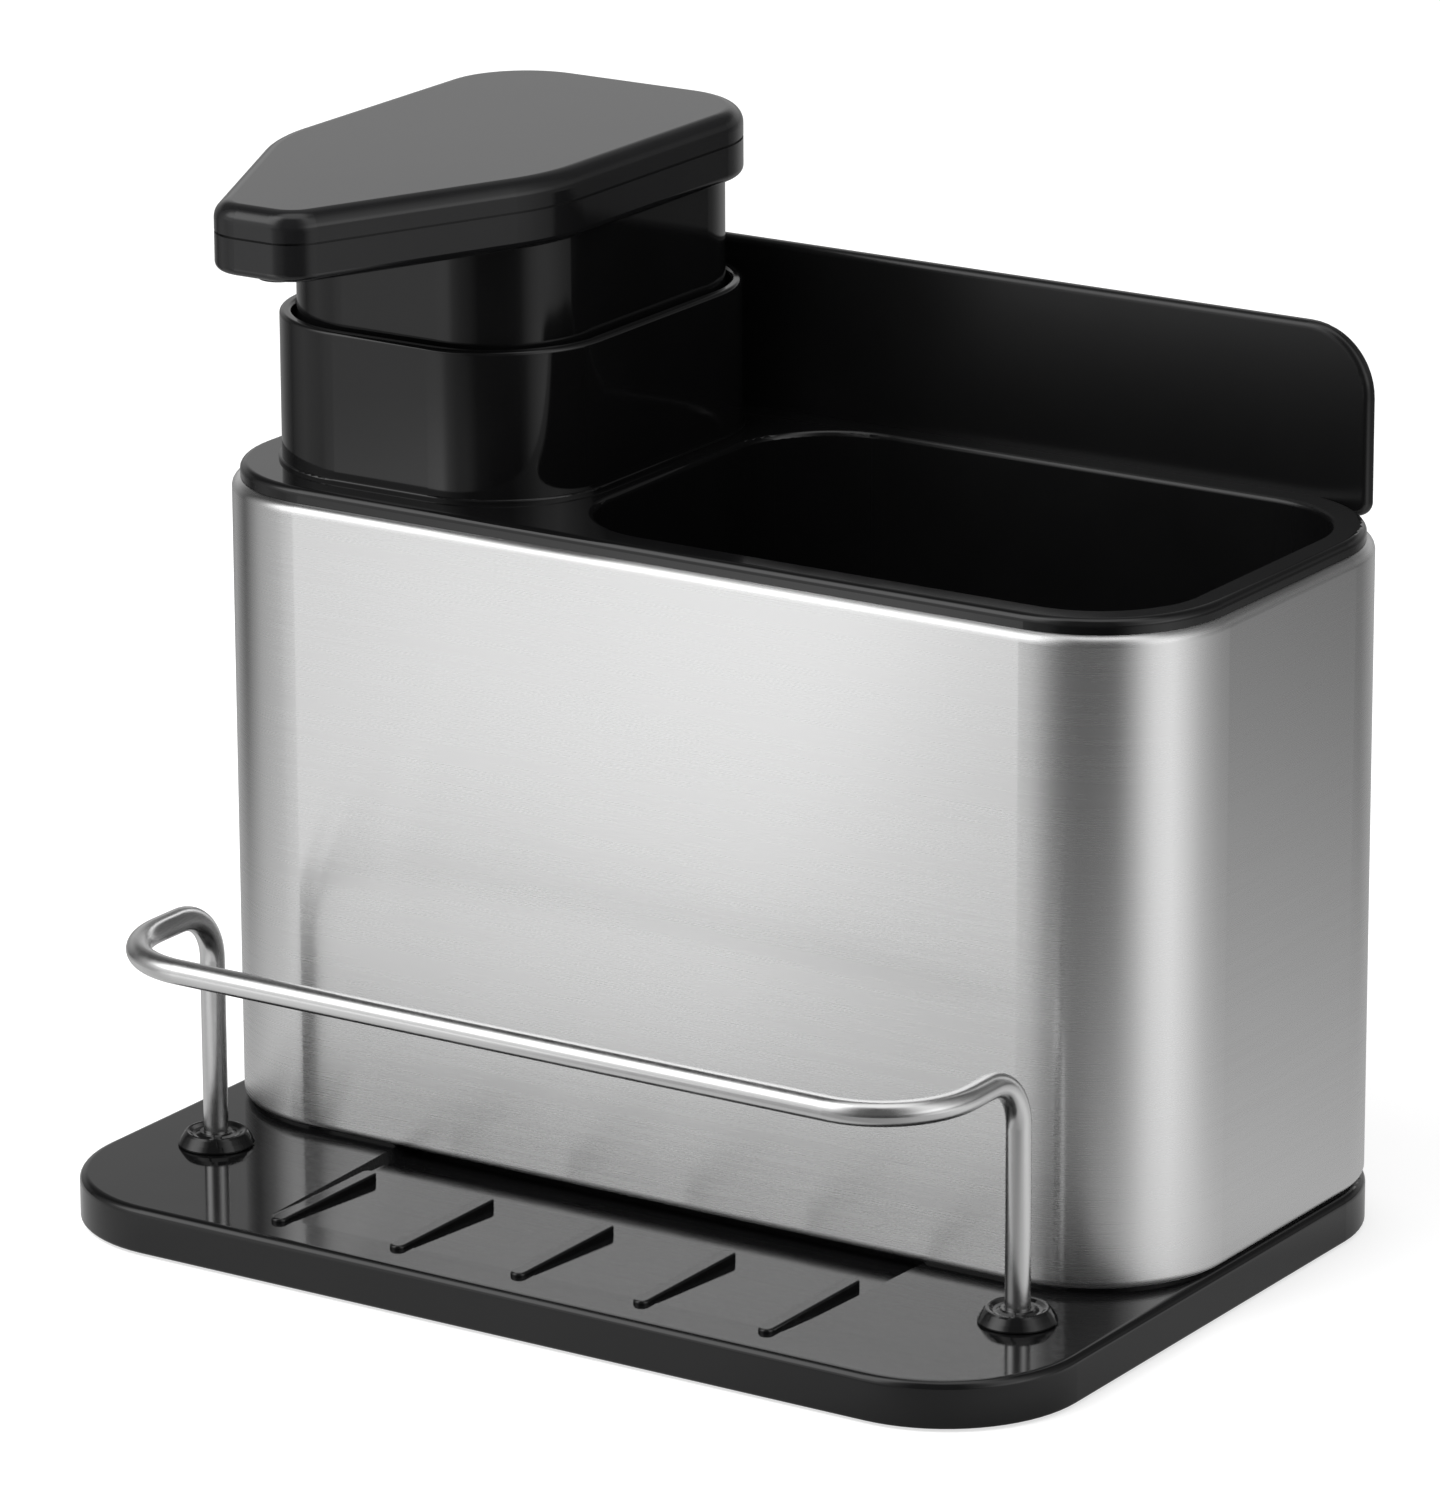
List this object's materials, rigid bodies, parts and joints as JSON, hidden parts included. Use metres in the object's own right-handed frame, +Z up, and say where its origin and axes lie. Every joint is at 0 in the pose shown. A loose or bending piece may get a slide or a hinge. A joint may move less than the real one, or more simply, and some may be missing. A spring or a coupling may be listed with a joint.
{
  "type": "soap pump caddy",
  "caption": "Washbasin caddy: steel-clad body with a soap pump and a brush well, on a tray with a ribbed sponge shelf and a wire rail.",
  "frame": {"origin": "middle of the footprint, on the surface under the rubber pads", "axes": "+Z up, front towards -Y, +X to the right as seen from the front"},
  "size_m": [0.163, 0.1168, 0.1504],
  "materials": {
    "base_tray": "glossy black moulded plastic",
    "base_pads": "soft dark rubber",
    "case_screws": "plated steel screws",
    "steel_sleeve": "stainless steel, fine horizontal grain",
    "top_insert": "glossy black moulded plastic",
    "soap_tank": "glossy black moulded plastic",
    "rail_wire": "polished steel wire",
    "rail_grommets": "glossy black",
    "rail_clips": "spring steel push-on washers",
    "pump_plate": "fine matt black",
    "tank_gasket": "soft grey rubber",
    "pump_cylinder": "natural milky plastic",
    "guide_cap": "fine matt black",
    "ball_cage": "natural milky plastic",
    "foot_ball": "polished steel ball",
    "dip_tube": "milky flexible tube",
    "pump_stem": "natural milky plastic",
    "piston": "white plastic",
    "piston_seal": "black rubber",
    "outlet_ball": "polished steel ball",
    "return_spring": "bright spring wire",
    "press_tray": "satin black",
    "press_cover": "satin black",
    "plunger_skirt": "glossy black moulded plastic",
    "head_screws": "plated steel screws",
    "delivery_channel": "natural milky plastic",
    "nozzle_tip": "satin black"
  },
  "bodies": {
    "caddy": {"base_tray": "base_tray", "base_pads": "base_pads", "case_screws": "case_screws", "steel_sleeve": "steel_sleeve", "top_insert": "top_insert", "soap_tank": "soap_tank", "rail_wire": "rail_wire", "rail_grommets": "rail_grommets", "rail_clips": "rail_clips"},
    "pump_unit": {"pump_plate": "pump_plate", "tank_gasket": "tank_gasket", "pump_cylinder": "pump_cylinder", "guide_cap": "guide_cap", "ball_cage": "ball_cage", "dip_tube": "dip_tube", "return_spring": "return_spring"},
    "press_head": {"press_tray": "press_tray", "press_cover": "press_cover", "plunger_skirt": "plunger_skirt", "head_screws": "head_screws", "delivery_channel": "delivery_channel", "nozzle_tip": "nozzle_tip", "pump_stem": "pump_stem", "piston": "piston", "piston_seal": "piston_seal"},
    "inlet_valve": {"foot_ball": "foot_ball"},
    "outlet_valve": {"outlet_ball": "outlet_ball"}
  },
  "joints": [
    {"name": "pump_lift", "type": "slide", "parent": "caddy", "child": "pump_unit", "axis": [0, 0, 1], "range_m": [0, 0.112]},
    {"name": "head_press", "type": "slide", "parent": "pump_unit", "child": "press_head", "axis": [0, 0, -1], "range_m": [0, 0.0125], "stiffness_N_per_m": 400, "springref_m": -0.02, "deforming": ["return_spring"]},
    {"name": "inlet_lift", "type": "slide", "parent": "pump_unit", "child": "inlet_valve", "axis": [0, 0, 1], "range_m": [0, 0.0012]},
    {"name": "outlet_lift", "type": "slide", "parent": "press_head", "child": "outlet_valve", "axis": [0, 0, 1], "range_m": [0, 0.001]}
  ]
}
